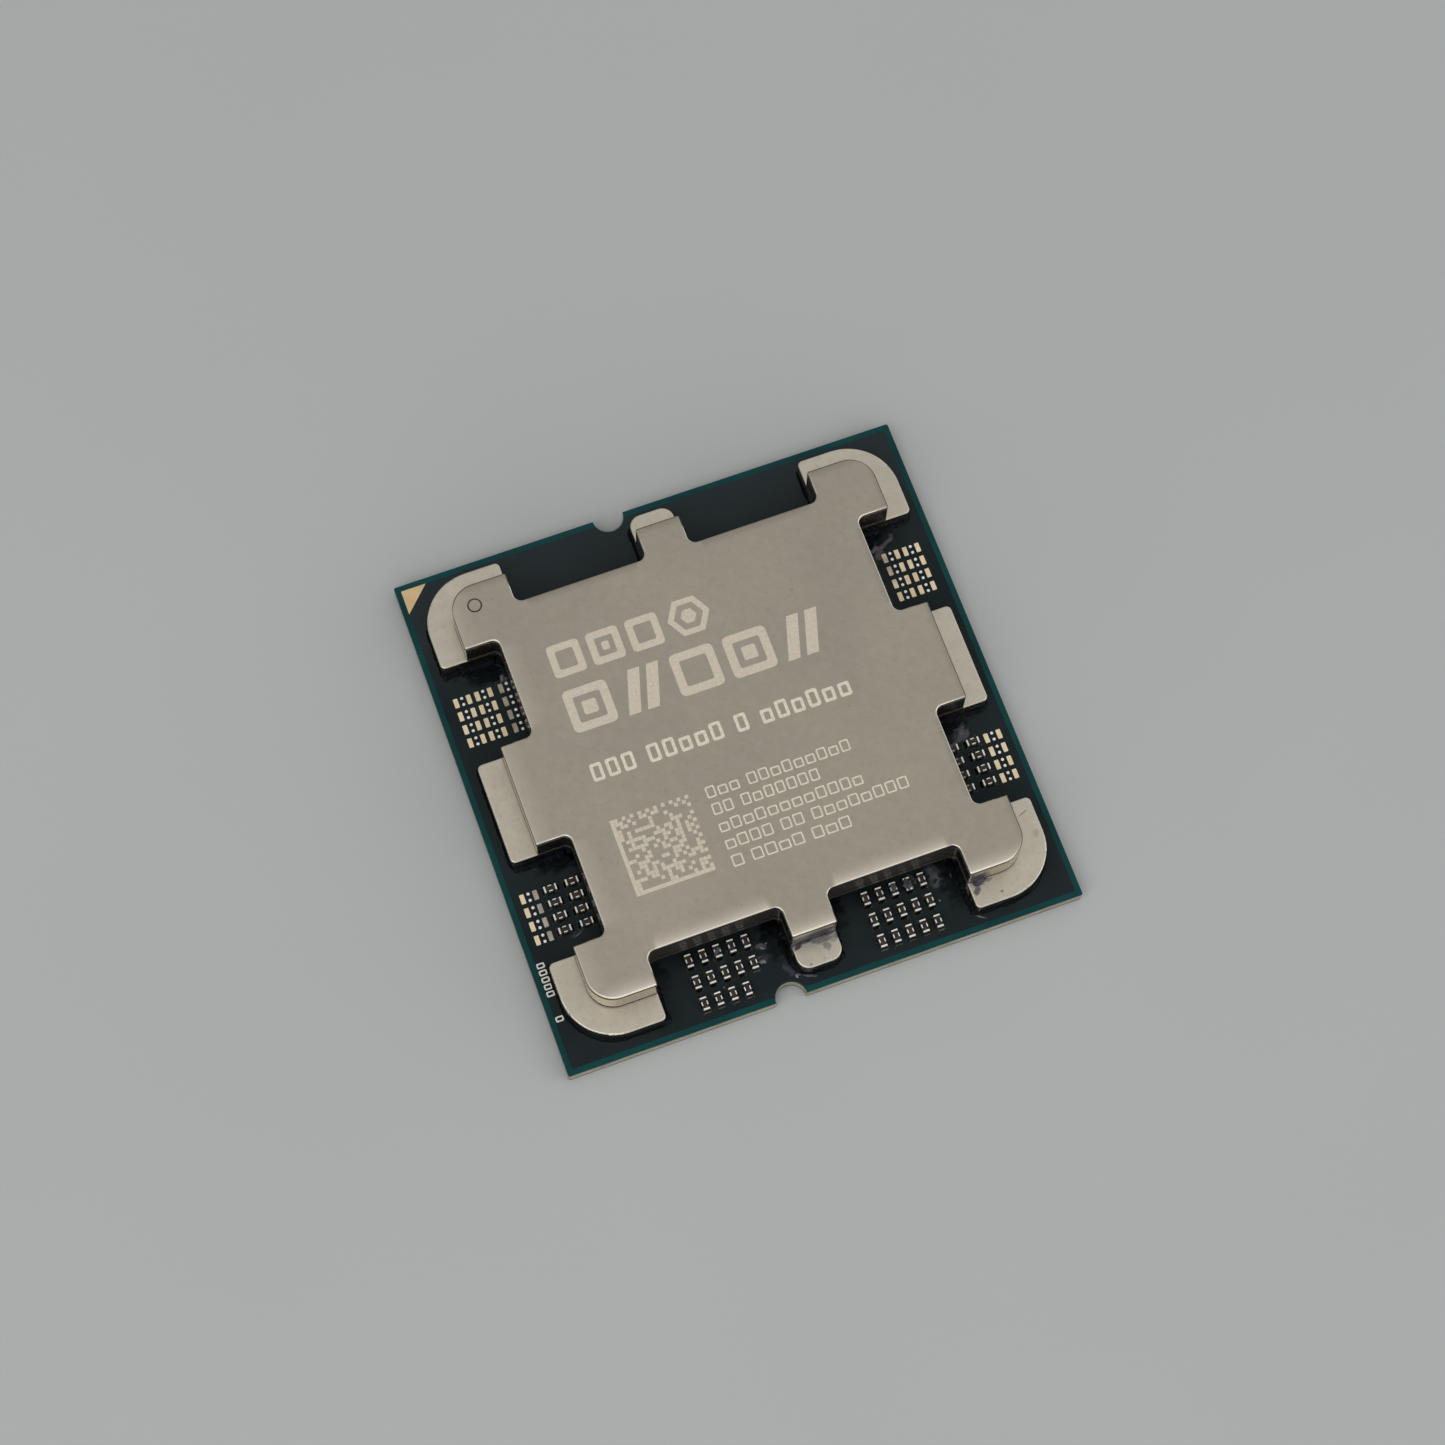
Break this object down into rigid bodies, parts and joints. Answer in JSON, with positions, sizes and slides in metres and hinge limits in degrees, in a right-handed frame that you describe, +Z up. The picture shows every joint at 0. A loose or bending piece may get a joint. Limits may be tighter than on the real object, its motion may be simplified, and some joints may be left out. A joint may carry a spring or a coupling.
{
  "type": "desktop processor",
  "caption": "Square land-grid desktop processor: stepped metal lid with eight legs over a black substrate, edge windows with chip capacitors, and gold lands underneath.",
  "frame": {"origin": "centre of the land side, which is the face it rests on", "axes": "+Z up from the land side through the lid; +Y towards the edge with the pin 1 corner at its -X end; +X along that edge away from pin 1"},
  "size_m": [0.04, 0.04, 0.0054],
  "materials": {
    "silicone_adhesive": "satin black silicone",
    "silicon": "polished dark grey",
    "gold_plating": "thin bright gold",
    "solder": "bright solder",
    "indium_solder": "soft grey metal",
    "underfill": "glossy dark epoxy",
    "copper": "copper",
    "capacitor_ceramic": "matt brown-grey",
    "tin_terminal": "bright tin",
    "tinned_pad": "bright tin",
    "gold_pad": "satin gold",
    "nickel_plate": "satin nickel plate on copper",
    "gold_land": "satin gold",
    "buildup_laminate": "dark green-blue laminate edge",
    "green_mask": "semi-gloss dark green",
    "gold_marker": "satin gold",
    "core_laminate": "tan glass-epoxy laminate",
    "black_mask": "semi-gloss black"
  },
  "bodies": {
    "root": {"adhesive_back": "silicone_adhesive", "adhesive_back_left": "silicone_adhesive", "adhesive_back_right": "silicone_adhesive", "adhesive_front": "silicone_adhesive", "adhesive_front_left": "silicone_adhesive", "adhesive_front_right": "silicone_adhesive", "adhesive_left": "silicone_adhesive", "adhesive_right": "silicone_adhesive", "cache_die": "silicon", "compute_die": "silicon", "compute_die_back_metal": "gold_plating", "compute_die_bumps": "solder", "compute_die_indium_solder": "indium_solder", "compute_die_underfill": "underfill", "core_plated_vias": "copper", "front_left_capacitor_bodies": "capacitor_ceramic", "front_left_capacitor_solder": "solder", "front_left_capacitor_terminals": "tin_terminal", "front_left_centre_pads": "tinned_pad", "front_left_end_pads": "gold_pad", "front_right_capacitor_bodies": "capacitor_ceramic", "front_right_capacitor_solder": "solder", "front_right_capacitor_terminals": "tin_terminal", "front_right_centre_pads": "tinned_pad", "front_right_end_pads": "gold_pad", "heat_spreader": "nickel_plate", "io_die": "silicon", "io_die_back_metal": "gold_plating", "io_die_bumps": "solder", "io_die_indium_solder": "indium_solder", "io_die_underfill": "underfill", "land_pads": "gold_land", "left_lower_capacitor_bodies": "capacitor_ceramic", "left_lower_capacitor_solder": "solder", "left_lower_capacitor_terminals": "tin_terminal", "left_lower_centre_pads": "tinned_pad", "left_lower_end_pads": "gold_pad", "left_upper_centre_pads": "tinned_pad", "left_upper_end_pads": "gold_pad", "lid_gold_pads": "gold_plating", "lower_buildup": "buildup_laminate", "lower_copper_plane": "copper", "lower_solder_mask": "green_mask", "pin1_marker": "gold_marker", "right_lower_capacitor_bodies": "capacitor_ceramic", "right_lower_capacitor_solder": "solder", "right_lower_capacitor_terminals": "tin_terminal", "right_lower_centre_pads": "tinned_pad", "right_lower_end_pads": "gold_pad", "right_upper_centre_pads": "tinned_pad", "right_upper_end_pads": "gold_pad", "structural_silicon_left": "silicon", "structural_silicon_right": "silicon", "substrate_core": "core_laminate", "upper_buildup": "buildup_laminate", "upper_copper_plane": "copper", "upper_solder_mask": "black_mask"}
  },
  "joints": []
}
